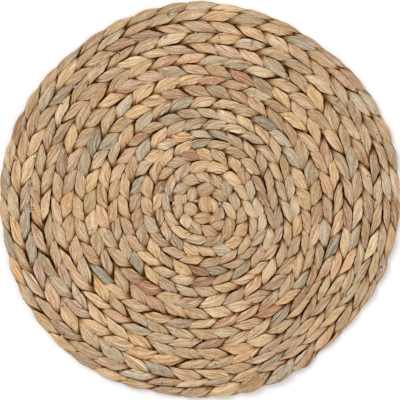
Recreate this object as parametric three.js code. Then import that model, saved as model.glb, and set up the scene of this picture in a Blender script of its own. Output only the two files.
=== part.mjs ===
// Round placemat of dried plant stalks: one long flat braid wound in a spiral
// from the centre outwards and sewn edge to edge with thin twine.
// One closed solid, millimetres, +Z up. The origin is at the middle of the
// bounding box, on the flat underside.
import * as THREE from 'three';
import * as BufferGeometryUtils from 'three/addons/utils/BufferGeometryUtils.js';

// ---- driving dimensions (mm) ----
const MEAN_RADIUS = 190;        // half of the mat's mean diameter
const BRAID_PITCH = 19.8;       // one turn of braid, seam to seam
const FIRST_CENTRE_LINE = 173.9; // braid centre line that is furthest out, at angle 0
const CROWN_HEIGHT = 9.6;       // top of a braid
const SEAM_HEIGHT = 6.6;        // top where two turns are sewn together
const RIM_LOW = 2.8;            // rim starts to be full width at this height
const RIM_HIGH = 6.0;           // and stays so up to this one
const RIM_ROUNDING = 2.4;       // how far the rim draws in above and below
const RIM_SHOULDER = 8.0;       // height at the inner end of that rounding
const LEAF_COUNT = 44;          // stalk bends round the rim
const LEAF_BULGE = 0.9;         // how far each one stands out
const RING_STEP = 5;            // ring spacing on the top face
const OUTLINE_FADE = 6;         // how fast the outline's unevenness dies inwards

// ---- the uneven outline, one row for each stretch of rim ----
const OUTLINE = [
  { deg: 0, radius: 192.4 }, { deg: 20, radius: 193.5 },
  { deg: 40, radius: 191.6 }, { deg: 50, radius: 188.2 },
  { deg: 70, radius: 189.2 }, { deg: 90, radius: 190.2 },
  { deg: 110, radius: 188.2 }, { deg: 130, radius: 187.0 },
  { deg: 150, radius: 189.2 }, { deg: 170, radius: 190.6 },
  { deg: 190, radius: 189.7 }, { deg: 210, radius: 192.6 },
  { deg: 222, radius: 192.5 }, { deg: 240, radius: 191.6 },
  { deg: 260, radius: 188.0 }, { deg: 280, radius: 188.9 },
  { deg: 300, radius: 190.4 }, { deg: 310, radius: 186.1 },
  { deg: 322, radius: 186.7 }, { deg: 340, radius: 190.4 },
];

// ---- how many points each band of rings has ----
const BANDS = [
  { upTo: 12, points: 11 },
  { upTo: 62, points: 33 },
  { upTo: 152, points: 66 },
  { upTo: Infinity, points: 132 },
];

const smooth = (t) => t * t * (3 - 2 * t);

function outlineRadius(deg) {
  const a = ((deg % 360) + 360) % 360;
  let i = OUTLINE.length - 1;
  while (OUTLINE[i].deg > a) i -= 1;
  const from = OUTLINE[i];
  const to = OUTLINE[(i + 1) % OUTLINE.length];
  const span = (to.deg - from.deg + 360) % 360;
  const t = smooth((a - from.deg) / span);
  return from.radius + (to.radius - from.radius) * t;
}

// each bend of a stalk round the rim comes out slowly and tucks in fast
function leafBulge(deg) {
  const phase = (deg / 360) * LEAF_COUNT;
  const t = phase - Math.floor(phase);
  return LEAF_BULGE * (Math.sin(Math.PI * Math.min(1, t * 1.25)) - 0.55);
}

const rimRadius = (deg) => outlineRadius(deg) + leafBulge(deg);

function ringRadius(nominal, deg) {
  const share = Math.pow(nominal / MEAN_RADIUS, OUTLINE_FADE);
  return nominal + (outlineRadius(deg) - MEAN_RADIUS) * share;
}

// height of the braid's crown over the spiral; the winding runs outwards
// clockwise, so a turn comes nearer to the centre as the angle grows
function topHeight(radius, deg) {
  const turns = (radius - FIRST_CENTRE_LINE) / BRAID_PITCH + deg / 360;
  const across = 2 * (turns - Math.round(turns));
  const crown = 1 - Math.pow(Math.abs(across), 2.2);
  return SEAM_HEIGHT + (CROWN_HEIGHT - SEAM_HEIGHT) * crown;
}

// ---- mesh building ----
const positions = [];
const indices = [];
const addPoint = (r, deg, z) => {
  const a = (deg * Math.PI) / 180;
  positions.push(r * Math.cos(a), r * Math.sin(a), z);
  return positions.length / 3 - 1;
};
const addRing = (points, radiusAt, heightAt) =>
  Array.from({ length: points }, (_, i) => {
    const deg = (360 * i) / points;
    const r = radiusAt(deg);
    return addPoint(r, deg, heightAt(r, deg));
  });

// joins an inner ring to an outer one with a whole number of times its points
function bridge(inner, outer, up) {
  const k = outer.length / inner.length;
  const half = Math.ceil(k / 2);
  const tri = (a, b, c) => (up ? indices.push(a, b, c) : indices.push(a, c, b));
  for (let i = 0; i < inner.length; i += 1) {
    const here = inner[i];
    const next = inner[(i + 1) % inner.length];
    for (let j = 0; j < k; j += 1) {
      const from = outer[(i * k + j) % outer.length];
      const to = outer[(i * k + j + 1) % outer.length];
      tri(j < half ? here : next, from, to);
    }
    tri(here, outer[(i * k + half) % outer.length], next);
  }
}

const pointsAt = (radius) => BANDS.find((band) => radius < band.upTo).points;

// top face, from the centre out to the rim's rounding
const shoulderNominal = MEAN_RADIUS - RIM_ROUNDING;
const centre = addPoint(0, 0, topHeight(0, 0));
let ring = addRing(BANDS[0].points, () => RING_STEP, topHeight);
for (let i = 0; i < ring.length; i += 1) {
  indices.push(centre, ring[i], ring[(i + 1) % ring.length]);
}
for (let r = 2 * RING_STEP; r < shoulderNominal - RING_STEP / 2; r += RING_STEP) {
  const next = addRing(pointsAt(r), (deg) => ringRadius(r, deg), topHeight);
  bridge(ring, next, true);
  ring = next;
}

// rim, from the shoulder down to the underside
const rimPoints = BANDS[BANDS.length - 1].points;
const RIM_PROFILE = [
  { inset: RIM_ROUNDING, height: RIM_SHOULDER },
  { inset: 0, height: RIM_HIGH },
  { inset: 0, height: RIM_LOW },
  { inset: RIM_ROUNDING, height: 0 },
];
for (const row of RIM_PROFILE) {
  const next = addRing(rimPoints, (deg) => rimRadius(deg) - row.inset, () => row.height);
  bridge(ring, next, true);
  ring = next;
}

// flat underside, down to one small triangle round the centre
const underMiddle = addRing(33, () => MEAN_RADIUS / 2, () => 0);
bridge(underMiddle, ring, false);
const underCentre = addRing(3, () => MEAN_RADIUS / 6, () => 0);
bridge(underCentre, underMiddle, false);
indices.push(underCentre[0], underCentre[2], underCentre[1]);

let geometry = new THREE.BufferGeometry();
geometry.setAttribute('position', new THREE.Float32BufferAttribute(positions, 3));
geometry.setIndex(indices);
geometry = BufferGeometryUtils.mergeVertices(geometry, 1e-4);

// the origin goes to the middle of the box, on the underside
geometry.computeBoundingBox();
const box = geometry.boundingBox;
geometry.translate(-(box.min.x + box.max.x) / 2, -(box.min.y + box.max.y) / 2, 0);
geometry.computeVertexNormals();

const group = new THREE.Group();
const mat = new THREE.Mesh(
  geometry,
  new THREE.MeshStandardMaterial({ color: 0xc6a67a, roughness: 0.72, metalness: 0 }),
);
mat.name = 'braided_mat';
group.add(mat);

export default group;
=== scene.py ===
import math

import bpy
import numpy as np
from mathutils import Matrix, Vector


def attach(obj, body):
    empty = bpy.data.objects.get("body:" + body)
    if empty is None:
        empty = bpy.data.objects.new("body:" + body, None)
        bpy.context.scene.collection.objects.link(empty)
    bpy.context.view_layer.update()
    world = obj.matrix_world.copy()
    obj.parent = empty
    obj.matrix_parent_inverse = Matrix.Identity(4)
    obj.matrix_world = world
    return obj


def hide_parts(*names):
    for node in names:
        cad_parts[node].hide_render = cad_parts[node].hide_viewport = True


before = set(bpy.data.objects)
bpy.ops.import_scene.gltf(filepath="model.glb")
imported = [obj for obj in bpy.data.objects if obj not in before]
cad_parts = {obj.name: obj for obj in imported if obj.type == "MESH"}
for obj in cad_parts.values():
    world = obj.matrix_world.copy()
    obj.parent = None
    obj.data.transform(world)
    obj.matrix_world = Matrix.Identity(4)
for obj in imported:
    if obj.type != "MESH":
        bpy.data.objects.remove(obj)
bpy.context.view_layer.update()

# Round placemat: a flat three-strand braid of dried, flattened stalks, wound in
# a spiral and sewn with thin twine. Lengths here are millimetres until the
# meshes are written, angles are degrees, counted anticlockwise from +X.

# ---- named sizes ----
MEAN_RADIUS = 190.0
THICKNESS = 9.5          # crown of the braid above the underside
SEAM_DROP = 1.2          # how much lower the top is at a sewn seam
SEAM_LIFT = 1.0          # how much the underside rises there
SEAM_OVERLAP = 0.5       # how far a leaf may push over the seam into the next turn
HALF_BRAID = 10.0        # nominal half width of the braid
BRAID_DEPTH = 4.55       # nominal half depth of the braid
RISE = 2.3               # how far a stalk's middle moves up and down
STALK_HALF_THICKNESS = 1.9
STRAIGHT_GRAIN = 0.7     # how far the grain keeps straight inside a bent leaf
OVER_THE_EDGE = 0.8      # share of height counted as width, for grain on a leaf's edge
ROW_LEAD = 0.13          # how far the two rows of leaves are out of step, in pitches
PITCH_INSIDE = 12.0      # from one bend to the next, in the middle
PITCH_GROWTH = 15.0      # and how much more than that at the rim
LEAF_COUNT = 44
LEAF_BULGE = 0.9
LEAF_NOTCH = 2.1         # depth of the notch between two leaves at the rim
TOP_RINGS, TOP_POINTS = 13, 22       # rings to a pitch and points to a ring, seen face
UNDER_RINGS, UNDER_POINTS = 8, 16    # and on the underside
UNDER_SHIFT = 0.75                   # the underside's leaves lie between the top's, in pitches
TOP_LOWEST, UNDER_LOWEST = -0.36, 0.36   # lowest height of each face's stalks, share of the rise
PIECES = 5
STRANDS = 3
SEED = 20917

# the uneven outline, one row for each stretch of rim: angle, radius
OUTLINE = [
    (0, 192.4), (20, 193.5), (40, 191.6), (50, 188.2), (70, 189.2),
    (90, 190.2), (110, 188.2), (130, 187.0), (150, 189.2), (170, 190.6),
    (190, 189.7), (210, 192.6), (222, 192.5), (240, 191.6), (260, 188.0),
    (280, 188.9), (300, 190.4), (310, 186.1), (322, 186.7), (340, 190.4),
]

# the braid's centre line, one row for each turn from the rim inwards, and its
# radius at each of these angles; going in, the angle grows
TURN_ANGLES = (0, 40, 80, 120, 160, 200, 240, 280, 300, 320, 340)
TURNS = {
    "rim": (183.0, 182.5, 181.8, 178.2, 180.1, 182.0, 182.5, 177.2, 174.8, 173.9, 175.3),
    "second": (176.3, 174.6, 172.4, 171.0, 171.0, 172.9, 172.9, 169.9, 164.3, 158.7, 158.5),
    "third": (157.1, 155.7, 150.9, 152.3, 151.4, 151.8, 150.4, 151.4, 150.9, 142.7, 140.8),
    "fourth": (138.4, 132.7, 129.8, 133.6, 130.8, 133.2, 131.7, 132.7, 131.2, 130.3, 120.2),
    "fifth": (118.8, 113.0, 110.5, 110.0, 108.9, 110.6, 113.0, 114.0, 113.3, 111.6, 104.4),
    "sixth": (94.4, 93.2, 89.1, 87.7, 87.2, 87.8, 90.7, 92.4, 91.5, 89.6, 86.2),
    "seventh": (76.6, 74.7, 68.7, 66.9, 66.6, 67.5, 69.9, 73.8, 73.8, 72.8, 69.9),
    "eighth": (58.4, 54.6, 51.7, 47.4, 44.5, 44.5, 47.9, 52.7, 55.6, 55.6, 51.7),
    "ninth": (42.0, 34.5, 30.6, 27.8, 26.0, 25.4, 26.8, 31.6, 34.5, 32.6, 27.0),
    "start": (20.0, 12.0, 9.0, 7.2, 6.3, 6.0, 5.8, 5.5, 5.3, 5.1, 5.0),
}
TAIL = [(-60, 177.0), (-40, 179.1), (-20, 181.5)]  # the tucked-in end, before the rim turn
TAIL_SHOWS = 1.8         # how far the tail looks out from under the rim turn
INNER_CENTRE = (-1.0, -2.7)                         # the spiral's middle is off the mat's
LAST_ANGLE = 9 * 360 + 28

# the braid's folded start, in the very middle: x, y of each fold's middle (mm,
# from the spiral's middle), length, width, angle, height of its middle, half
# thickness, tone, brightness
FOLDS = [
    (7.8, -0.8, 21.0, 16.5, 98, 5.3, 3.3, "rust", 1.06),
    (-7.2, -5.6, 17.5, 14.0, -28, 5.2, 3.2, "cream", 1.02),
    (4.4, -14.2, 22.5, 12.5, 8, 5.0, 3.1, "orange", 0.94),
    (20.5, 8.2, 17.0, 12.5, -30, 4.9, 3.2, "orange", 0.95),
    (15.0, -15.5, 15.0, 10.0, 50, 4.6, 3.0, "straw", 0.98),
    (-5.6, 8.3, 18.0, 11.5, 80, 5.1, 3.2, "straw", 1.03),
    (7.4, 13.4, 24.0, 14.5, 20, 4.9, 3.2, "pink", 0.90),
    (-14.5, 5.0, 17.0, 10.0, 95, 4.8, 3.1, "cream", 0.96),
    (-11.5, -14.5, 17.0, 9.5, -20, 4.7, 3.0, "straw", 0.98),
    # a wide, thin sheet under the folds that fills the holes between them; its low brightness is painted shade
    (1.0, -1.0, 60.0, 50.0, 30, 4.5, 1.2, "khaki", 0.60),
    (3.0, 1.0, 20.0, 15.0, 40, 3.3, 2.9, "straw", 1.00),
    (-11.0, 4.0, 21.0, 13.0, 110, 3.3, 2.9, "cream", 0.95),
    (-7.0, -9.0, 21.0, 13.0, -40, 3.3, 2.9, "khaki", 1.00),
    (6.0, -12.0, 22.0, 13.0, 20, 3.3, 2.9, "orange", 0.95),
    (15.0, -1.0, 20.0, 13.0, 80, 3.3, 2.9, "straw", 0.95),
    (4.0, 14.0, 22.0, 13.0, 15, 3.3, 2.9, "pink", 0.95),
]

# one pass of a stalk over the top, from the seam to the braid's middle and under
# to the other side; the next pass is its mirror image. Columns: how far along
# (pitches), distance from the braid's middle (mm), height (share of the rise),
# half width (mm), lean (degrees, seam side up), thickness (share)
PASS_LENGTH = 1.5
WEAVE = [
    (0.00, 9.1, -0.34, 2.6, 4, 1.10),
    (0.12, 8.5, 0.10, 2.4, 6, 1.00),
    (0.25, 7.6, 0.52, 3.0, 5, 0.95),
    (0.40, 6.5, 0.86, 4.2, 2, 0.95),
    (0.55, 5.4, 1.00, 5.3, 0, 1.00),
    (0.75, 5.0, 1.00, 5.6, 0, 1.00),
    (0.93, 4.7, 0.88, 5.2, 2, 1.00),
    (1.08, 3.6, 0.62, 4.1, 5, 0.95),
    (1.22, 2.1, 0.20, 3.2, 7, 1.00),
    (1.33, -0.2, -0.30, 4.4, 5, 1.05),
    (1.42, -5.4, -0.60, 5.2, 2, 1.05),
]

# stalk tones: name, colour as seen (0 to 1), how common it is
TONES = [
    ("straw", (0.810, 0.684, 0.520), 0.32),
    ("honey", (0.820, 0.690, 0.495), 0.10),
    ("cream", (0.850, 0.750, 0.595), 0.14),
    ("orange", (0.815, 0.662, 0.488), 0.12),
    ("sage", (0.730, 0.668, 0.558), 0.11),
    ("pink", (0.785, 0.655, 0.530), 0.09),
    ("khaki", (0.765, 0.660, 0.510), 0.12),
    ("rust", (0.775, 0.605, 0.460), 0.02),
    ("umber", (0.700, 0.510, 0.370), 0.01),
    ("ash", (0.640, 0.590, 0.495), 0.01),
]

# stalks that stand out from the rest: angle, radius, tone
ACCENTS = [
    (356, 188, "umber"), (159, 186, "umber"), (195, 187, "ash"), (211, 188, "sage"),
    (104, 183, "sage"), (131, 184, "sage"), (11, 186, "pink"), (47, 185, "pink"),
    (326, 185, "pink"), (82, 178, "orange"), (107, 173, "umber"), (103, 174, "sage"),
    (60, 177, "orange"), (224, 177, "pink"), (207, 178, "pink"), (240, 179, "pink"),
    (165, 175, "sage"), (280, 172, "khaki"), (297, 172, "ash"), (0, 171, "sage"),
    (17, 170, "sage"), (58, 166, "sage"), (92, 167, "pink"), (136, 164, "orange"),
    (198, 168, "sage"), (256, 166, "sage"), (215, 167, "orange"), (17, 161, "pink"),
    (84, 155, "orange"), (248, 158, "orange"), (201, 155, "khaki"), (18, 150, "sage"),
    (328, 135, "umber"), (349, 135, "rust"), (339, 135, "ash"), (76, 125, "umber"),
    (73, 138, "sage"), (147, 112, "ash"), (210, 108, "pink"), (233, 107, "pink"),
    (246, 98, "umber"), (52, 95, "ash"), (212, 116, "ash"), (276, 80, "umber"),
    (276, 69, "umber"), (2, 60, "umber"), (50, 76, "ash"), (105, 43, "umber"),
    (155, 40, "umber"), (22, 80, "cream"), (353, 86, "cream"), (130, 49, "sage"),
]

# ---- small helpers ----
rng = np.random.RandomState(SEED)


def smooth(t):
    t = np.clip(t, 0.0, 1.0)
    return t * t * (3 - 2 * t)


def ramp(x, a, b):
    return smooth((np.asarray(x, float) - a) / (b - a))


def linear(rgb):
    c = np.asarray(rgb, float)
    return np.where(c <= 0.04045, c / 12.92, ((c + 0.055) / 1.055) ** 2.4)


def outline_radius(deg):
    deg = np.mod(deg, 360.0)
    xs = np.array([row[0] for row in OUTLINE] + [360.0])
    ys = np.array([row[1] for row in OUTLINE] + [OUTLINE[0][1]])
    i = np.clip(np.searchsorted(xs, deg, side="right") - 1, 0, len(OUTLINE) - 1)
    t = smooth((deg - xs[i]) / (xs[i + 1] - xs[i]))
    return ys[i] + (ys[i + 1] - ys[i]) * t


def leaf_bulge(deg):
    t = np.mod(np.asarray(deg, float) / 360 * LEAF_COUNT, 1.0)
    return LEAF_BULGE * (np.sin(np.pi * np.minimum(1, t * 1.25)) - 0.55)


def hermite(x, xs, ys):
    """A smooth curve through the points, with no overshoot worth the name."""
    xs, ys = np.asarray(xs, float), np.asarray(ys, float)
    h, d = np.diff(xs), np.diff(ys) / np.diff(xs)
    m = np.zeros_like(ys)
    m[1:-1] = (d[:-1] * h[1:] + d[1:] * h[:-1]) / (h[:-1] + h[1:])
    m[0], m[-1] = d[0], d[-1]
    i = np.clip(np.searchsorted(xs, x, side="right") - 1, 0, len(h) - 1)
    t = (x - xs[i]) / h[i]
    t2, t3 = t * t, t * t * t
    return (
        (2 * t3 - 3 * t2 + 1) * ys[i]
        + (t3 - 2 * t2 + t) * h[i] * m[i]
        + (-2 * t3 + 3 * t2) * ys[i + 1]
        + (t3 - t2) * h[i] * m[i + 1]
    )


# the middle of the outline's box goes to the origin
rim_points = np.arange(132) * 360 / 132
rim_at = outline_radius(rim_points) + leaf_bulge(rim_points)
rim_x, rim_y = rim_at * np.cos(np.radians(rim_points)), rim_at * np.sin(np.radians(rim_points))
SHIFT = np.array([(rim_x.min() + rim_x.max()) / 2, (rim_y.min() + rim_y.max()) / 2])

# ---- the braid's path ----
knot_deg = [row[0] for row in TAIL]
knot_radius = [row[1] for row in TAIL]
for n, radii in enumerate(TURNS.values()):
    for a, r in zip(TURN_ANGLES, radii):
        knot_deg.append(360 * n + a)
        knot_radius.append(r)

STEP = 0.1
fine_u = np.arange(-60, LAST_ANGLE + STEP / 2, STEP)
fine_r = hermite(fine_u, knot_deg, knot_radius)


def path_radius(u):
    return np.interp(u, fine_u, fine_r)


inner = ramp(fine_u, 7 * 360 + 60, 8 * 360 + 20)
fine_x = INNER_CENTRE[0] * inner + fine_r * np.cos(np.radians(fine_u))
fine_y = INNER_CENTRE[1] * inner + fine_r * np.sin(np.radians(fine_u))
tx, ty = np.gradient(fine_x), np.gradient(fine_y)
speed = np.hypot(tx, ty)
fine_nx, fine_ny = ty / speed, -tx / speed  # outward normal


TURN = int(round(360 / STEP))
count = len(fine_u)
at = np.arange(count)
behind, ahead = np.maximum(at - TURN, 0), np.minimum(at + TURN, count - 1)
to_outer = (fine_x[behind] - fine_x) * fine_nx + (fine_y[behind] - fine_y) * fine_ny
to_inner = (fine_x - fine_x[ahead]) * fine_nx + (fine_y - fine_y[ahead]) * fine_ny


def half_widths():
    """(outer, inner) distance from the centre line to the seams, all along."""
    u, r = fine_u, fine_r
    rim = outline_radius(u) - r - 0.3
    rim = rim - TAIL_SHOWS * ramp(u, 296, 301) * (1 - ramp(u, 316, 328))
    # the rim turn's inner half is tucked under the second turn, whose outer row
    # reaches to the rim turn's centre line
    tucked = to_outer + 1.0
    early, free = ramp(u, 290, 325), ramp(u, 610, 660)
    outer = np.where(u < 340, rim * (1 - early) + np.maximum(tucked, 8.6) * early, tucked)
    outer = np.where(u < 560, outer, tucked * (1 - free) + to_outer / 2 * free)
    out_of_tuck = ramp(u, 255, 300)
    inner = np.where(u < 300, 9.4 * (1 - out_of_tuck) + to_inner / 2 * out_of_tuck, to_inner / 2)
    end = ramp(u, LAST_ANGLE - 400, LAST_ANGLE - 340)
    inner = inner * (1 - end) + np.minimum(r - 0.2, 11.2) * end
    return np.clip(outer, 6.0, 13.5), np.clip(inner, 2.0, 13.5)


fine_pitch = PITCH_INSIDE + PITCH_GROWTH * (np.clip(fine_r, 0, 180) / 180) ** 0.95
fine_s = np.concatenate([[0], np.cumsum(speed[1:])])
fine_n = np.concatenate([[0], np.cumsum(speed[1:] / fine_pitch[1:])])
fine_out, fine_in = half_widths()
ALONG = {
    "x": fine_x, "y": fine_y, "nx": fine_nx, "ny": fine_ny, "u": fine_u,
    "out": fine_out, "in": fine_in, "s": fine_s, "pitch": fine_pitch,
}


def along(name, n):
    return np.interp(n, fine_n, ALONG[name])


def place(n, y):
    """Plan position at n pitches along, y across in nominal mm, seam at 10."""
    offset = np.where(y > 0, y * along("out", n), y * along("in", n)) / HALF_BRAID
    return along("x", n) + offset * along("nx", n), along("y", n) + offset * along("ny", n)


# ---- the strands ----
TONE_RGB = linear(np.array([row[1] for row in TONES]))
TONE_SHARE = np.array([row[2] for row in TONES])
TONE_SHARE = TONE_SHARE / TONE_SHARE.sum()
TONE_INDEX = {row[0]: i for i, row in enumerate(TONES)}

passes = int((fine_n[-1] + STRANDS) / PASS_LENGTH) + 3


def pass_noise(low, high):
    return rng.uniform(low, high, (STRANDS, passes))


def pick_noise():
    """Numbers that are eased from pass to pass, and ones that each pass keeps."""
    eased = {
        "width": pass_noise(0.86, 1.12),
        "thick": pass_noise(0.88, 1.12),
        "side": pass_noise(-0.9, 0.9),
        "lift": pass_noise(-0.42, 0.42),
        "shift": pass_noise(-0.10, 0.10),
        "roll": pass_noise(-0.10, 0.10),
    }
    kept = {
        "split": (rng.uniform(size=(STRANDS, passes)) < 0.22) * pass_noise(0.35, 0.95),
        "split_at": pass_noise(-0.35, 0.35),
        "value": pass_noise(0.78, 1.20),
        "streak": pass_noise(0.0, 1.0),
        "wobble": pass_noise(0.0, 6.28),
    }
    return eased, kept


def pick_tones():
    first = rng.choice(len(TONES), (STRANDS, passes), p=TONE_SHARE)
    keep = rng.uniform(size=(STRANDS, passes)) < 0.3
    for p in range(1, passes):
        first[:, p] = np.where(keep[:, p], first[:, p - 1], first[:, p])
    return first


top_noise = pick_noise()
tone = pick_tones()
tone2 = pick_tones()


def blend_passes(values, position, soft):
    """Values of the passes along the strand, eased from one to the next."""
    at = np.clip(position, 0, passes - 1.001)
    i = np.floor(at).astype(int)
    t = at - i
    back, ahead = np.maximum(i - 1, 0), np.minimum(i + 1, passes - 1)
    lead = smooth(np.clip((t - (1 - soft)) / (2 * soft), 0, 0.5))
    trail = smooth(np.clip((soft - t) / (2 * soft), 0, 0.5))
    shape = (...,) + (None,) * (values.ndim - 1)
    lead, trail = lead[shape], trail[shape]
    return values[i] * (1 - lead - trail) + values[ahead] * lead + values[back] * trail


def weave(t, column, mirrored):
    """A column of the weave table at t pitches into a strand's first pass,
    repeated for every pass; a mirrored one changes sign from pass to pass."""
    sign = -1 if mirrored else 1
    xs, ys = [], []
    for lap in range(-1, 4):
        for row in WEAVE:
            xs.append(row[0] + lap * PASS_LENGTH)
            ys.append(row[column] * sign ** (lap % 2))
    return hermite(np.mod(t, 2 * PASS_LENGTH), xs, ys)


# the pass nearest to each accent takes its tone
for a_deg, a_radius, a_tone in ACCENTS:
    ax, ay = a_radius * math.cos(math.radians(a_deg)), a_radius * math.sin(math.radians(a_deg))
    best = None
    for k in range(STRANDS):
        for p in range(passes):
            n_mid = p * PASS_LENGTH + 0.72 - k
            if not 0 < n_mid < fine_n[-1]:
                continue
            side = 1 if p % 2 == 0 else -1
            x_at, y_at = place(n_mid - side * ROW_LEAD, side * 4.6)
            d = math.hypot(x_at - ax, y_at - ay)
            if best is None or d < best[0]:
                best = (d, k, p)
    _, k, p = best
    tone[k, p] = TONE_INDEX[a_tone]
    tone2[k, p] = TONE_INDEX[a_tone] if (k + p) % 2 else tone2[k, p]

# the tail's stalks get dark tones: painted shade where the tail lies under the rim turn
tone[:, :2], tone2[:, :2] = TONE_INDEX["umber"], TONE_INDEX["pink"]

top_tones = (tone, tone2)
under_noise = pick_noise()
under_tones = (pick_tones(), pick_tones())


def circle(points):
    return np.arange(points) * 2 * math.pi / points


def strand_surface(k, rings_per_pitch, ring_points, face, phase, noise, tones):
    """One strand of one face of the braid; face is 1 for the top, -1 below.
    Position counts the strand's passes: a whole number is the start of one."""
    n_at = np.linspace(0, fine_n[-1], int(fine_n[-1] * rings_per_pitch))
    pitch_at, s_at = along("pitch", n_at), along("s", n_at)
    around = circle(ring_points)
    t = n_at + k + phase
    position = t / PASS_LENGTH
    g = {name: blend_passes(values[k], position, 0.5) for name, values in noise[0].items()}
    h = {name: blend_passes(values[k], position, 0.04) for name, values in noise[1].items()}

    end = np.minimum(1, np.minimum(n_at / 0.5, (n_at[-1] - n_at) / 0.5))  # both ends taper
    end = 0.25 + 0.75 * smooth(end)
    y_mid = weave(t, 1, True) * (0.3 + 0.7 * end) + g["side"]
    # a face's stalks stay on their own side where they run under the other row
    floor_share = TOP_LOWEST if face > 0 else UNDER_LOWEST
    z_mid = np.maximum(weave(t, 2, False), floor_share) * RISE + g["lift"]
    width = weave(t, 3, False) * g["width"] * end
    row_side = weave(t, 4, True)
    roll = np.radians(row_side) + g["roll"]
    thick = weave(t, 5, False) * STALK_HALF_THICKNESS * g["thick"] * end
    if face < 0:
        thick = thick * (1 - 0.35 * ramp(-weave(t, 2, False), -0.5, 0.2))

    # the rows are a little out of step: the outer one lags, the inner one leads
    outer_row = np.cos(2 * math.pi * (t - 0.72) / (2 * PASS_LENGTH))
    lead = -ROW_LEAD * np.tanh(outer_row * 3.0) + g["shift"]
    n_mid = n_at + lead

    # rings square to the stalk: to the leaf's long axis where it shows, to its
    # own path where it runs under the other row
    axis = -np.arctan2(HALF_BRAID / PASS_LENGTH, pitch_at) * np.tanh(outer_row * 3.0)
    path = np.arctan2(np.gradient(y_mid), np.gradient(n_mid) * pitch_at)
    under = ramp(-weave(t, 2, False), 0.1, 0.8)
    heading = axis * (1 - under) + 0.7 * np.tanh(path / 0.7) * under

    c, s = np.cos(around)[None, :], np.sin(around)[None, :]
    lens = np.sign(s) * np.abs(s) ** 0.66
    across = np.repeat(c, len(t), 0)
    # lengthwise folds: a double stalk has a groove, and all have faint ribs
    groove = h["split"][:, None] * np.exp(-(((across - h["split_at"][:, None]) / 0.10) ** 2))
    ribs = 0.07 * np.sin(across * 9.0 + h["wobble"][:, None]) + 0.05 * np.sin(across * 17.0 + 2 * h["wobble"][:, None])
    body = thick[:, None] * lens - np.sign(s) * np.abs(s) ** 0.5 * (groove - ribs)
    ripple = 0.14 * np.sin(s_at * 0.43 + 1.7 * k)[:, None] + 0.10 * np.sin(s_at * 0.91 + h["wobble"])[:, None]
    side = (width[:, None] + ripple) * across
    cr, sr = np.cos(roll)[:, None], np.sin(roll)[:, None]
    flat = side * cr - body * sr
    z = z_mid[:, None] + side * sr + body * cr
    y = y_mid[:, None] + flat * np.cos(heading)[:, None]
    n = n_mid[:, None] - flat * np.sin(heading)[:, None] / pitch_at[:, None]

    y_free, z_free = y, z
    # pressed against the next turn at the seams, and against the table
    free_rim = (1 - ramp(along("u", n_mid), 318, 335))[:, None]
    limit = HALF_BRAID + 0.7 + SEAM_OVERLAP * np.where(y > 0, 1 - free_rim, 1.0)
    over = np.abs(y) - (limit - 1.0)
    y = np.sign(y) * np.where(over > 0, (limit - 1.0) + (1 - np.exp(-over)), np.abs(y))
    over = np.abs(z) - (BRAID_DEPTH - 0.7)
    z = np.sign(z) * np.where(over > 0, (BRAID_DEPTH - 0.7) + 0.7 * (1 - np.exp(-over / 0.7)), np.abs(z))

    # round the rim each leaf comes out slowly and tucks in fast
    came_out = np.sin(math.pi * np.clip(np.mod(t, 2 * PASS_LENGTH), 0, 1) ** 1.3)
    y = y + free_rim * (LEAF_NOTCH * came_out - 0.6 * LEAF_NOTCH)[:, None] * ramp(y, 6.0, 10.0)

    z = face * z
    eta, zeta = y / HALF_BRAID, (z / BRAID_DEPTH + 1) / 2
    low = SEAM_LIFT * np.abs(eta) ** 3
    high = THICKNESS - SEAM_DROP * np.abs(eta) ** 3
    u = along("u", n)
    # the rim turn: its inner half runs flat under the second turn
    is_rim = 1 - ramp(u, 262, 300)
    sunk = is_rim * ramp(-eta, -0.30, 0.25)
    high = high * (1 - sunk) + 3.9 * sunk
    low = low * (1 - sunk) + 0.3 * sunk
    # and the second turn's outer row rides over it
    over_rim = ramp(u, 285, 330) * (1 - ramp(u, 622, 656))
    lifted = over_rim * ramp(eta, 0.05, 0.45)
    low = low + 3.4 * lifted
    # the tail goes under altogether
    tail = 1 - ramp(u, -60, -5)
    high = high * (1 - 0.42 * tail)

    height = low + (high - low) * zeta
    px, py = place(n, y)

    # where a point lies on its own leaf: across the leaf's long axis, along it,
    # and a number for the pass; the grain runs by these
    number = np.clip(np.floor(position), 0, passes - 1)
    row_sign = np.where(number % 2 == 0, 1.0, -1.0)[:, None]
    slant = np.arctan2(HALF_BRAID / PASS_LENGTH, pitch_at)[:, None]
    x_leaf = (n - n_mid[:, None]) * pitch_at[:, None] + ((t - number * PASS_LENGTH) * pitch_at)[:, None]
    y_leaf = y_free * row_sign - OVER_THE_EDGE * z_free
    straight = x_leaf * np.sin(slant) + y_leaf * np.cos(slant)
    curved = side * row_sign + 7.0 - OVER_THE_EDGE * z_free
    leaf = np.stack([
        STRAIGHT_GRAIN * straight + (1 - STRAIGHT_GRAIN) * curved,
        x_leaf * np.cos(slant) - y_leaf * np.sin(slant),
        np.repeat((number * 3.7 + k * 1.3 + face * 0.6)[:, None], ring_points, 1) * 1000,
    ], -1) / 1000

    # how deep a point lies in the braid, for the painted shade in the gaps
    inward = -face * z / BRAID_DEPTH
    gap_shade = ramp(inward, -0.62, -0.08) * (1 - ramp(inward, 0.30, 0.55))
    # the rim's outer side lies open to the light: no painted shade and no painted dark edge there
    open_side = (1 - ramp(u, 297, 302)) * ramp(eta, 0.62, 0.92)
    gap_shade = gap_shade * (1 - 0.85 * open_side)
    across = across * (1 - 0.20 * open_side)
    points = np.stack([px - SHIFT[0], py - SHIFT[1], height], -1) / 1000

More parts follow.
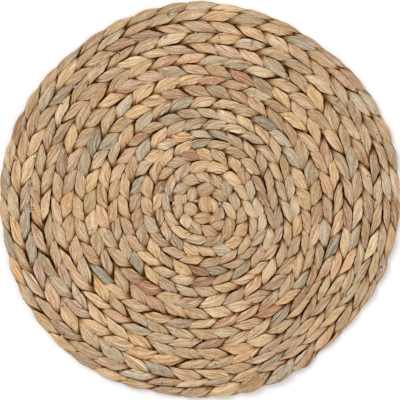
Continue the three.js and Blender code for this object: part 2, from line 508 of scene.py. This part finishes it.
    colour = blend_passes(TONE_RGB[tones[0][k]], position, 0.03) * h["value"][:, None]
    other = blend_passes(TONE_RGB[tones[1][k]], position, 0.03) * h["value"][:, None]
    return {
        "points": points,
        "colour": np.repeat(colour[:, None, :], ring_points, 1),
        "other": np.repeat(other[:, None, :], ring_points, 1),
        "gap_shade": gap_shade,
        "across": across,
        "leaf": leaf,
        "mark": np.repeat(h["streak"][:, None], ring_points, 1),
        "along": s_at / 1000 + 7.3 * (k + 2 * face),
        "girth": 2 * (width + thick) * 1.25 / 1000,
    }


def fold_surface(number, row):
    """One folded stalk of the middle: a closed, blunt leaf with drooping ends."""
    x, y, long, wide, deg, level, half, tone_name, value = row
    q = np.linspace(0.01, 0.99, 24)[:, None]
    swell = np.sin(math.pi * q)
    c, s = np.cos(circle(TOP_POINTS))[None, :], np.sin(circle(TOP_POINTS))[None, :]
    across = np.repeat(c, len(q), 0)
    side = wide / 2 * swell ** 0.55 * across
    ribs = 0.10 * np.sin(across * 9.0 + number) + 0.07 * np.sin(across * 17.0 + 2.1 * number)
    body = half * swell ** 0.55 * np.sign(s) * np.abs(s) ** 0.74 + np.sign(s) * np.abs(s) ** 0.5 * ribs * swell
    run = (q - 0.5) * long + 0 * across
    face = 1 if level > 4 else -1
    z = level + body - face * 1.3 * np.abs(2 * q - 1) ** 3
    z = np.clip(z, 0.4, THICKNESS - 0.4)
    a = math.radians(deg)
    px = INNER_CENTRE[0] + x + run * math.cos(a) - side * math.sin(a)
    py = INNER_CENTRE[1] + y + run * math.sin(a) + side * math.cos(a)
    spread = np.ones((len(q), TOP_POINTS, 1))
    first, second = TONE_RGB[TONE_INDEX[tone_name]], TONE_RGB[TONE_INDEX["straw"]]
    return {
        "points": np.stack([px - SHIFT[0], py - SHIFT[1], z], -1) / 1000,
        "colour": spread * first * value,
        "other": spread * second * value,
        # painted shade: darker towards the braid's middle height
        "gap_shade": ramp(-face * (z / BRAID_DEPTH - 1.04), -0.62, 0.05),
        "across": across,
        "leaf": np.stack([side, run, 0 * run + 5000.0 * (number + 1)], -1) / 1000,
        "mark": np.full((len(q), TOP_POINTS), 0.5),
        "along": (q[:, 0] * long) / 1000 + 0.1 * number,
        "girth": np.full(len(q), 2.3 * wide / 1000),
    }


def mesh_object(name, points, quads, caps, attributes, uv, material):
    """A smooth closed mesh: quads from arrays, caps as single polygons."""
    mesh = bpy.data.meshes.new(name)
    loops = np.concatenate([quads.reshape(-1)] + [np.asarray(c) for c in caps]) if caps else quads.reshape(-1)
    starts = np.arange(len(quads)) * 4
    at = len(quads) * 4
    for c in caps:
        starts = np.append(starts, at)
        at += len(c)
    mesh.vertices.add(len(points))
    mesh.vertices.foreach_set("co", points.astype(np.float32).reshape(-1))
    mesh.loops.add(len(loops))
    mesh.loops.foreach_set("vertex_index", loops.astype(np.int32))
    mesh.polygons.add(len(starts))
    mesh.polygons.foreach_set("loop_start", starts.astype(np.int32))
    mesh.polygons.foreach_set("use_smooth", np.ones(len(starts), bool))
    for key, values in attributes.items():
        if values.ndim == 2:
            layer = mesh.attributes.new(key, "FLOAT_COLOR", "POINT")
            rgba = np.concatenate([values, np.ones((len(values), 1))], 1)
            layer.data.foreach_set("color", rgba.astype(np.float32).reshape(-1))
        else:
            layer = mesh.attributes.new(key, "FLOAT", "POINT")
            layer.data.foreach_set("value", values.astype(np.float32))
    layer = mesh.uv_layers.new(name="UVMap")
    layer.data.foreach_set("uv", uv.astype(np.float32).reshape(-1))
    mesh.update(calc_edges=True)
    mesh.validate()
    mesh.materials.append(material)
    obj = bpy.data.objects.new(name, mesh)
    bpy.context.scene.collection.objects.link(obj)
    return obj


# ---- materials ----
def node(tree, kind, **settings):
    n = tree.nodes.new(kind)
    for key, value in settings.items():
        setattr(n, key, value)
    return n


class Graph:
    """Short names for the shader nodes used below."""

    def __init__(self, material):
        material.use_nodes = True
        self.tree = material.node_tree
        self.tree.nodes.clear()
        self.out = node(self.tree, "ShaderNodeOutputMaterial")
        self.shader = node(self.tree, "ShaderNodeBsdfPrincipled")
        self.link(self.shader.outputs[0], self.out.inputs["Surface"])
        self.grain = node(self.tree, "ShaderNodeUVMap", uv_map="UVMap").outputs[0]

    def link(self, a, b):
        self.tree.links.new(a, b)

    def attribute(self, name, socket):
        return node(self.tree, "ShaderNodeAttribute", attribute_name=name).outputs[socket]

    def stretched(self, across, length, detail, rough, offset=0.0, distort=0.0):
        """Noise drawn out along the stalk: feature sizes in metres."""
        mapping = node(self.tree, "ShaderNodeMapping")
        mapping.inputs["Scale"].default_value = (1 / across, 1 / length, 1)
        mapping.inputs["Location"].default_value = (offset, offset * 1.7, offset)
        self.link(self.grain, mapping.inputs["Vector"])
        n = node(self.tree, "ShaderNodeTexNoise")
        n.inputs["Scale"].default_value = 1.0
        n.inputs["Detail"].default_value = detail
        n.inputs["Roughness"].default_value = rough
        n.inputs["Distortion"].default_value = distort
        self.link(mapping.outputs[0], n.inputs["Vector"])
        return n.outputs["Fac"]

    def mapped(self, value, lo, hi, to_lo=0.0, to_hi=1.0, kind="SMOOTHSTEP"):
        n = node(self.tree, "ShaderNodeMapRange", interpolation_type=kind)
        for name, number in (("From Min", lo), ("From Max", hi), ("To Min", to_lo), ("To Max", to_hi)):
            n.inputs[name].default_value = number
        self.link(value, n.inputs["Value"])
        return n.outputs["Result"]

    def mix(self, factor, a, b, blend="MIX"):
        n = node(self.tree, "ShaderNodeMix", data_type="RGBA", blend_type=blend)
        self.link(factor, n.inputs["Factor"])
        for socket, value in ((n.inputs[6], a), (n.inputs[7], b)):
            if isinstance(value, tuple):
                socket.default_value = (*value, 1)
            else:
                self.link(value, socket)
        return n.outputs[2]

    def calc(self, op, a, b=None):
        n = node(self.tree, "ShaderNodeMath", operation=op)
        for socket, value in zip(n.inputs, (a, b)):
            if value is None:
                continue
            if isinstance(value, (int, float)):
                socket.default_value = value
            else:
                self.link(value, socket)
        return n.outputs[0]

    def bump(self, height, strength, distance):
        b = node(self.tree, "ShaderNodeBump")
        b.inputs["Strength"].default_value = strength
        b.inputs["Distance"].default_value = distance
        self.link(height, b.inputs["Height"])
        self.link(b.outputs[0], self.shader.inputs["Normal"])


def stalk_material():
    m = bpy.data.materials.new("dried_stalk")
    g = Graph(m)
    g.shader.inputs["Specular IOR Level"].default_value = 0.05
    g.shader.inputs["Specular Tint"].default_value = (1.0, 0.66, 0.36, 1)
    across, mark = g.attribute("across", "Fac"), g.attribute("mark", "Fac")
    gap_shade = g.attribute("gap_shade", "Fac")
    g.grain = g.attribute("leaf", "Vector")

    hair = g.stretched(0.00040, 0.014, 2.0, 0.6, 1.3)         # hair-thin fibres
    fibre = g.stretched(0.0009, 0.032, 2.0, 0.55)            # single fibres
    strip = g.stretched(0.0024, 0.050, 2.0, 0.5, 3.1, 0.3)   # bands of them
    patch = g.stretched(0.005, 0.013, 2.0, 0.5, 9.7, 0.4)    # weathering
    speck = g.stretched(0.0010, 0.0026, 2.0, 0.5, 5.3)
    grain = g.stretched(0.0008, 0.0020, 1.0, 0.5, 23.1)      # roughness of the skin
    crease = g.stretched(0.0042, 0.060, 1.0, 0.5, 17.3)      # long folds in a stalk

    shifted = g.calc("ADD", strip, g.calc("MULTIPLY", g.calc("SUBTRACT", mark, 0.5), 0.35))
    base = g.mix(g.mapped(shifted, 0.42, 0.66), g.attribute("colour", "Color"), g.attribute("other", "Color"))
    base = g.mix(g.mapped(patch, 0.50, 0.72, 0.0, 0.45), base, (0.80, 0.68, 0.55), "MULTIPLY")
    base = g.mix(g.mapped(patch, 0.46, 0.28, 0.0, 0.20), base, (0.80, 0.68, 0.54), "SCREEN")
    base = g.mix(g.mapped(fibre, 0.49, 0.34, 0.0, 0.68), base, (0.54, 0.36, 0.21), "MULTIPLY")
    base = g.mix(g.mapped(hair, 0.50, 0.32, 0.0, 0.80), base, (0.52, 0.35, 0.21), "MULTIPLY")
    base = g.mix(g.mapped(hair, 0.54, 0.74, 0.0, 0.40), base, (0.9, 0.85, 0.80), "SCREEN")
    base = g.mix(g.mapped(fibre, 0.56, 0.72, 0.0, 0.38), base, (0.9, 0.85, 0.80), "SCREEN")
    base = g.mix(g.mapped(speck, 0.69, 0.76, 0.0, 0.70), base, (0.34, 0.22, 0.15), "MULTIPLY")
    base = g.mix(g.mapped(grain, 0.52, 0.26, 0.0, 0.42), base, (0.66, 0.54, 0.42), "MULTIPLY")
    base = g.mix(g.mapped(grain, 0.52, 0.76, 0.0, 0.20), base, (0.9, 0.84, 0.76), "SCREEN")
    folded = g.calc("ABSOLUTE", g.calc("SUBTRACT", crease, 0.5))
    base = g.mix(g.mapped(folded, 0.016, 0.003, 0.0, 0.42), base, (0.42, 0.27, 0.17), "MULTIPLY")
    # painted shade: warmer first, then dark, towards a leaf's edge and down into the gaps
    edge = g.calc("ABSOLUTE", across)
    base = g.mix(g.mapped(edge, 0.76, 0.88, 0.0, 1.0), base, (0.93, 0.78, 0.60), "MULTIPLY")
    base = g.mix(g.mapped(gap_shade, 0.0, 0.45, 0.0, 1.0, "LINEAR"), base, (0.90, 0.72, 0.51), "MULTIPLY")
    base = g.mix(g.mapped(edge, 0.86, 0.93, 0.0, 1.0), base, (0.070, 0.020, 0.002), "MULTIPLY")
    base = g.mix(g.mapped(gap_shade, 0.0, 1.0, 0.0, 0.96, "LINEAR"), base, (0.10, 0.033, 0.005), "MULTIPLY")
    g.link(base, g.shader.inputs["Base Color"])
    g.link(g.mapped(fibre, 0.25, 0.75, 0.74, 0.50, "LINEAR"), g.shader.inputs["Roughness"])
    relief = g.calc("ADD", g.calc("MULTIPLY", fibre, 1.0), g.calc("MULTIPLY", strip, 1.2))
    g.bump(g.calc("ADD", relief, g.calc("MULTIPLY", hair, 0.5)), 0.8, 0.00055)
    return m


def twine_material():
    m = bpy.data.materials.new("sewing_twine")
    g = Graph(m)
    g.shader.inputs["Roughness"].default_value = 0.85
    g.shader.inputs["Specular IOR Level"].default_value = 0.2
    hair = g.stretched(0.0003, 0.003, 3.0, 0.5)
    twist_shade = g.stretched(0.0011, 0.0018, 2.0, 0.6, 4.1)      # painted shade: the dark twists between the pale ones
    pale = g.mix(g.mapped(hair, 0.3, 0.7), (0.56, 0.47, 0.39), (0.90, 0.83, 0.76))
    g.link(g.mix(g.mapped(twist_shade, 0.56, 0.47, 0.0, 1.0), pale, (0.16, 0.09, 0.06), "MULTIPLY"), g.shader.inputs["Base Color"])
    g.bump(hair, 0.6, 0.0002)
    return m


STALK = stalk_material()
TWINE = twine_material()

# ---- the stalk pieces ----
surfaces = [
    strand_surface(k, TOP_RINGS, TOP_POINTS, 1, 0.0, top_noise, top_tones) for k in range(STRANDS)
] + [
    strand_surface(k, UNDER_RINGS, UNDER_POINTS, -1, UNDER_SHIFT, under_noise, under_tones) for k in range(STRANDS)
]
folds = [fold_surface(number, row) for number, row in enumerate(FOLDS)]
for piece in range(PIECES):
    parts = []
    for surface in surfaces:
        first = int(len(surface["points"]) * piece / PIECES)
        last = int(len(surface["points"]) * (piece + 1) / PIECES)
        parts.append({key: values[first:last + 1] for key, values in surface.items()})
    if piece == PIECES - 1:
        parts += folds
    all_points, all_quads, caps, uv_parts = [], [], [], []
    attributes = {"colour": [], "other": [], "leaf": [], "gap_shade": [], "across": [], "mark": []}
    base, length = 0, 0.0
    for surface in parts:
        pts = surface["points"].reshape(-1, 3)
        count, sides = surface["points"].shape[:2]
        idx = np.arange(sides)
        nxt = (idx + 1) % sides
        row = base + np.arange(count - 1)[:, None] * sides
        quads = np.stack([row + idx, row + nxt, row + sides + nxt, row + sides + idx], -1)
        all_points.append(pts)
        all_quads.append(quads.reshape(-1, 4))
        caps.append(base + idx[::-1])
        caps.append(base + (count - 1) * sides + idx)
        g0, g1 = surface["girth"][:-1, None], surface["girth"][1:, None]
        v0, v1 = surface["along"][:-1, None], surface["along"][1:, None]
        share0, share1 = idx / sides, (idx + 1) / sides
        one = np.ones((1, sides))
        corners = [(g0 * share0, v0 * one), (g0 * share1, v0 * one), (g1 * share1, v1 * one), (g1 * share0, v1 * one)]
        uv_parts.append(np.stack([np.stack(c, -1) for c in corners], 2).reshape(-1, 2))
        for key in attributes:
            values = surface[key]
            attributes[key].append(values.reshape(-1, 3) if values.ndim == 3 else values.reshape(-1))
        base += len(pts)
        centre = surface["points"].mean(1)
        length += float(np.linalg.norm(np.diff(centre, axis=0), axis=1).sum())
    uv_all = np.concatenate(uv_parts + [np.zeros((sum(len(cap) for cap in caps), 2))])
    obj = mesh_object(
        f"stalks_{piece + 1}",
        np.concatenate(all_points),
        np.concatenate(all_quads),
        caps,
        {key: np.concatenate(values) for key, values in attributes.items()},
        uv_all,
        STALK,
    )
    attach(obj, "root")
    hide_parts("braided_mat")

# ---- the sewing twine ----
# stitches that show: angle, radius (mm), run ("across" the seam or "along" it),
# length (mm), how many side by side
STITCHES = [
    (0, 166.7, "across", 7, 2), (8, 163.8, "across", 5, 1), (20, 164.8, "across", 5, 1),
    (36, 163.8, "across", 6, 2), (54, 164.8, "across", 5, 1), (71, 158.1, "across", 9, 2),
    (83, 158.1, "across", 8, 1), (91, 160, "across", 5, 1), (101, 160, "across", 6, 2),
    (118, 160, "across", 5, 1), (127, 161, "across", 6, 2), (137, 161, "across", 6, 2),
    (145, 161, "across", 5, 1), (166, 161, "across", 5, 1), (175, 162, "across", 6, 2),
    (183, 161, "along", 7, 2), (183, 160, "across", 6, 2), (192, 162, "across", 5, 1),
    (200, 161.4, "across", 6, 2), (208, 162, "across", 5, 1), (218, 162.9, "across", 6, 2),
    (232, 162.9, "across", 5, 1), (239, 162, "across", 6, 1), (268, 158, "across", 5, 1),
    (276, 155, "across", 7, 2), (288, 158, "across", 5, 1), (296, 156, "along", 6, 2),
    (327, 166.7, "across", 6, 2), (2, 184, "across", 5, 2), (20, 183, "across", 5, 1),
    (38, 183, "across", 5, 1), (99, 179.2, "along", 7, 2), (157, 183, "across", 4, 1),
    (168, 181, "across", 5, 2), (176, 182, "across", 5, 1), (225, 183, "across", 5, 2),
    (258, 178.2, "across", 5, 1), (340, 185.8, "along", 6, 2), (54, 142.7, "across", 6, 2),
    (77, 119.8, "across", 5, 2), (195, 107.3, "across", 5, 1), (260, 132.2, "across", 5, 2),
    (271, 133.2, "across", 5, 1), (319, 132.2, "along", 5, 1), (322, 132.2, "along", 5, 1),
    (101, 66.1, "across", 5, 1), (163, 37.4, "across", 5, 2),
    (178, 25.5, "across", 5, 3), (200, 2.0, "across", 6, 2), (231, 18.2, "along", 6, 2),
    (352, 21.5, "across", 5, 2), (170, 1.5, "along", 5, 1),
]
PLY_RADIUS = 0.38
PLY_TURN = 3.0           # length of one twist
STITCH_POINTS = 26
PLY_SIDES = 8
CELL = 0.6               # of the height map that the twine lies on

top = np.concatenate([surface["points"].reshape(-1, 3) for surface in surfaces + folds]) * 1000
cells = int(400 / CELL) + 1
height_map = np.zeros((cells, cells))
ix = ((top[:, 0] + 200) / CELL).astype(int)
iy = ((top[:, 1] + 200) / CELL).astype(int)
np.maximum.at(height_map, (ix, iy), top[:, 2])
for _ in range(2):
    padded = np.pad(height_map, 1)
    height_map = np.max([padded[i:i + cells, j:j + cells] for i in range(3) for j in range(3)], 0)


def surface_height(x, y):
    return height_map[((x + 200) / CELL).astype(int), ((y + 200) / CELL).astype(int)]


twine_points, twine_quads, twine_caps, twine_uv = [], [], [], []
made = 0
turn_angle = np.arange(PLY_SIDES) * 2 * math.pi / PLY_SIDES
ply_next = (np.arange(PLY_SIDES) + 1) % PLY_SIDES
for deg, radius, run, length, wraps in STITCHES:
    a = math.radians(deg + rng.uniform(-0.4, 0.4))
    cx, cy = radius * math.cos(a) - SHIFT[0], radius * math.sin(a) - SHIFT[1]
    aim = a + rng.uniform(-0.35, 0.35) + (math.pi / 2 if run == "along" else 0)
    for wrap in range(wraps):
        gap = (wrap - (wraps - 1) / 2) * rng.uniform(1.1, 1.9)
        q = np.linspace(-0.58, 0.58, STITCH_POINTS)
        bend = rng.uniform(-0.6, 0.6) * (1 - 4 * q * q)
        lx = cx + length * q * math.cos(aim) - (gap + bend) * math.sin(aim)
        ly = cy + length * q * math.sin(aim) + (gap + bend) * math.cos(aim)
        lz = surface_height(lx, ly)
        kernel = np.hanning(11) / np.hanning(11).sum()
        lz = np.convolve(np.pad(lz, 5, mode="edge"), kernel, mode="valid")
        lz = lz + 0.15 - 2.6 * np.abs(2 * q) ** 4
        centre = np.stack([lx, ly, np.minimum(lz, THICKNESS - 0.3)], -1)
        run_at = np.concatenate([[0], np.cumsum(np.linalg.norm(np.diff(centre, axis=0), axis=1))])
        tangent = np.gradient(centre, axis=0)
        tangent /= np.linalg.norm(tangent, axis=1)[:, None]
        sidewise = np.cross(tangent, [0, 0, 1.0])
        sidewise /= np.linalg.norm(sidewise, axis=1)[:, None]
        upward = np.cross(sidewise, tangent)
        for ply in range(2):
            twist = 2 * math.pi * run_at / PLY_TURN + math.pi * ply
            line = centre + PLY_RADIUS * (np.cos(twist)[:, None] * sidewise + np.sin(twist)[:, None] * upward)
            ring = (
                line[:, None, :]
                + PLY_RADIUS * np.cos(turn_angle)[None, :, None] * sidewise[:, None, :]
                + PLY_RADIUS * np.sin(turn_angle)[None, :, None] * upward[:, None, :]
            )
            twine_points.append(ring.reshape(-1, 3) / 1000)
            row = made + np.arange(STITCH_POINTS - 1)[:, None] * PLY_SIDES
            near = np.arange(PLY_SIDES)
            twine_quads.append(
                np.stack([row + near, row + ply_next, row + PLY_SIDES + ply_next, row + PLY_SIDES + near], -1).reshape(-1, 4)
            )
            share = near / PLY_SIDES * 0.0023
            v0, v1 = run_at[:-1, None] / 1000 + deg, run_at[1:, None] / 1000 + deg
            wide = share[None, :] + 0 * v0
            corners = [(wide, v0 + 0 * wide), (wide + 0.0003, v0 + 0 * wide), (wide + 0.0003, v1 + 0 * wide), (wide, v1 + 0 * wide)]
            twine_uv.append(np.stack([np.stack(c, -1) for c in corners], 2).reshape(-1, 2))
            twine_caps.append(made + near[::-1])
            twine_caps.append(made + (STITCH_POINTS - 1) * PLY_SIDES + near)
            made += STITCH_POINTS * PLY_SIDES
twine = mesh_object(
    "twine_stitches",
    np.concatenate(twine_points),
    np.concatenate(twine_quads),
    twine_caps,
    {},
    np.concatenate(twine_uv + [np.zeros((PLY_SIDES * len(twine_caps), 2))]),
    TWINE,
)
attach(twine, "root")

# ---- light, floor and camera ----
scene = bpy.context.scene
scene.view_settings.view_transform = "Standard"
world = bpy.data.worlds.new("studio")
scene.world = world
world.use_nodes = True
world.node_tree.nodes["Background"].inputs["Color"].default_value = (1.0, 1.0, 1.0, 1)
world.node_tree.nodes["Background"].inputs["Strength"].default_value = 0.735


def area_light(name, place_m, size, power):
    data = bpy.data.lights.new(name, "AREA")
    data.shape = "DISK"
    data.size = size
    data.energy = power
    obj = bpy.data.objects.new(name, data)
    scene.collection.objects.link(obj)
    obj.location = place_m
    obj.rotation_euler = (-Vector(place_m)).to_track_quat("-Z", "Y").to_euler()
    return obj


area_light("key", (-0.8, 0.8, 1.6), 0.9, 14.4)
area_light("fill", (0.9, -0.3, 1.6), 1.2, 4)

floor_mesh = bpy.data.meshes.new("floor")
half_floor = 3.0
corners = [(-1, -1), (1, -1), (1, 1), (-1, 1)]
floor_mesh.from_pydata([(x * half_floor, y * half_floor, -0.0002) for x, y in corners], [], [(0, 1, 2, 3)])
floor = bpy.data.objects.new("floor", floor_mesh)
scene.collection.objects.link(floor)
floor_material = bpy.data.materials.new("pale_floor")
floor_material.use_nodes = True
floor_shader = floor_material.node_tree.nodes["Principled BSDF"]
floor_shader.inputs["Base Color"].default_value = (0.97, 0.97, 0.97, 1)
floor_shader.inputs["Roughness"].default_value = 0.9
floor_mesh.materials.append(floor_material)

camera_data = bpy.data.cameras.new("camera")
camera_data.lens = 100
camera_data.sensor_width = 36
camera = bpy.data.objects.new("camera", camera_data)
scene.collection.objects.link(camera)
VIEW_WIDTH = 0.3832
camera.location = (-0.0002, -0.0003, 0.005 + VIEW_WIDTH / 2 / (18 / 100))
camera.rotation_euler = (0, 0, 0)
camera_data.clip_start = 0.01
camera_data.clip_end = 20
scene.camera = camera
